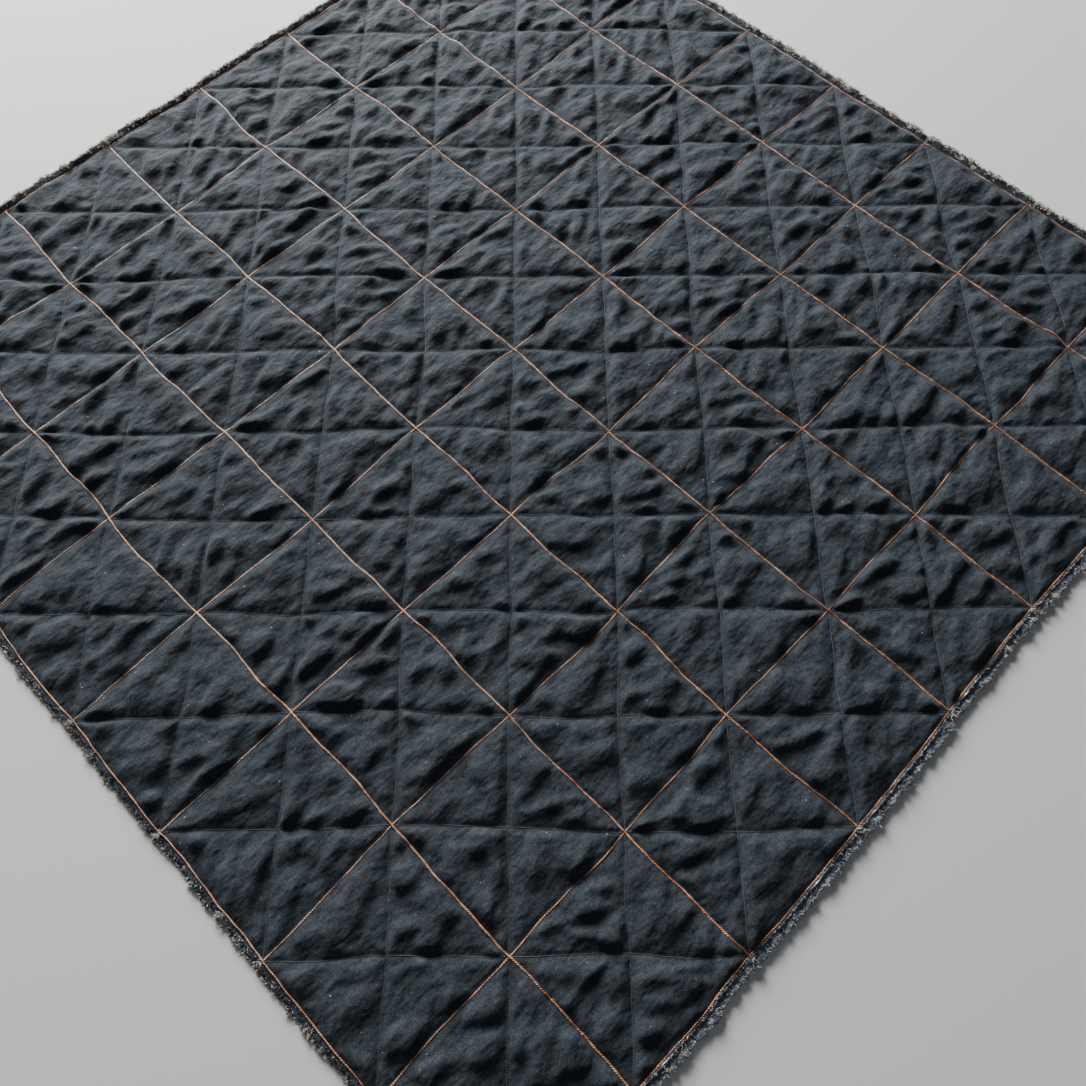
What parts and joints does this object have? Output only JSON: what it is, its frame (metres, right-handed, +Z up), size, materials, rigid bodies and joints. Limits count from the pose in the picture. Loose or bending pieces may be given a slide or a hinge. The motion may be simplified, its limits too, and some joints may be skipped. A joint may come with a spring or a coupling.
{
  "type": "camp quilt",
  "caption": "Square rag quilt of equal blocks: flannel face, batting and denim backing, quilted corner to corner, with frayed edges, folding like a fan.",
  "frame": {"origin": "centre of the quilt's footprint, on the surface that it lies on", "axes": "+Z up, through the quilt's thickness; +X along the rows of blocks; +Y across the rows, from the first row to the last"},
  "size_m": [1.6536, 1.6536, 0.012],
  "materials": {
    "face_flannel": "brushed, matte",
    "batting": "fluffy, matte",
    "backing_denim": "twill, matte",
    "quilting_thread": "spun thread, matte",
    "seam_thread": "heavy thread, satin",
    "rag_seam": "frayed, matte",
    "frayed_edge": "frayed, matte"
  },
  "bodies": {
    "panel_1": {"face_flannel_row_1": "face_flannel", "face_flannel_row_2": "face_flannel", "batting_row_1": "batting", "batting_row_2": "batting", "backing_denim_row_1": "backing_denim", "backing_denim_row_2": "backing_denim", "quilting_thread_row_1": "quilting_thread", "quilting_thread_row_2": "quilting_thread", "seam_thread_row_1": "seam_thread", "seam_thread_row_2": "seam_thread", "rag_seam_row_1": "rag_seam", "rag_seam_row_2": "rag_seam", "frayed_edge_left_1": "frayed_edge", "frayed_edge_right_1": "frayed_edge", "frayed_edge_front": "frayed_edge"},
    "panel_2": {"face_flannel_row_3": "face_flannel", "face_flannel_row_4": "face_flannel", "batting_row_3": "batting", "batting_row_4": "batting", "backing_denim_row_3": "backing_denim", "backing_denim_row_4": "backing_denim", "quilting_thread_row_3": "quilting_thread", "quilting_thread_row_4": "quilting_thread", "seam_thread_row_3": "seam_thread", "seam_thread_row_4": "seam_thread", "rag_seam_row_3": "rag_seam", "rag_seam_row_4": "rag_seam", "frayed_edge_left_2": "frayed_edge", "frayed_edge_right_2": "frayed_edge"},
    "panel_3": {"face_flannel_row_5": "face_flannel", "face_flannel_row_6": "face_flannel", "batting_row_5": "batting", "batting_row_6": "batting", "backing_denim_row_5": "backing_denim", "backing_denim_row_6": "backing_denim", "quilting_thread_row_5": "quilting_thread", "quilting_thread_row_6": "quilting_thread", "seam_thread_row_5": "seam_thread", "seam_thread_row_6": "seam_thread", "rag_seam_row_5": "rag_seam", "rag_seam_row_6": "rag_seam", "frayed_edge_left_3": "frayed_edge", "frayed_edge_right_3": "frayed_edge"},
    "panel_4": {"face_flannel_row_7": "face_flannel", "face_flannel_row_8": "face_flannel", "batting_row_7": "batting", "batting_row_8": "batting", "backing_denim_row_7": "backing_denim", "backing_denim_row_8": "backing_denim", "quilting_thread_row_7": "quilting_thread", "quilting_thread_row_8": "quilting_thread", "seam_thread_row_7": "seam_thread", "seam_thread_row_8": "seam_thread", "rag_seam_row_7": "rag_seam", "rag_seam_row_8": "rag_seam", "frayed_edge_left_4": "frayed_edge", "frayed_edge_right_4": "frayed_edge", "frayed_edge_back": "frayed_edge", "border_seam_thread": "seam_thread"}
  },
  "joints": [
    {"name": "fold_1_2", "type": "hinge", "parent": "panel_1", "child": "panel_2", "pos_m": [0, -0.4064, 0.017], "axis": [1, 0, 0], "range_deg": [0, 180]},
    {"name": "fold_2_3", "type": "hinge", "parent": "panel_2", "child": "panel_3", "pos_m": [0, 0, -0.003], "axis": [-1, 0, 0], "range_deg": [0, 180]},
    {"name": "fold_3_4", "type": "hinge", "parent": "panel_3", "child": "panel_4", "pos_m": [0, 0.4064, 0.017], "axis": [1, 0, 0], "range_deg": [0, 180]}
  ],
  "couplings": [
    {"joint": "fold_2_3", "follows": "fold_1_2", "ratio": 1},
    {"joint": "fold_3_4", "follows": "fold_1_2", "ratio": 1}
  ]
}
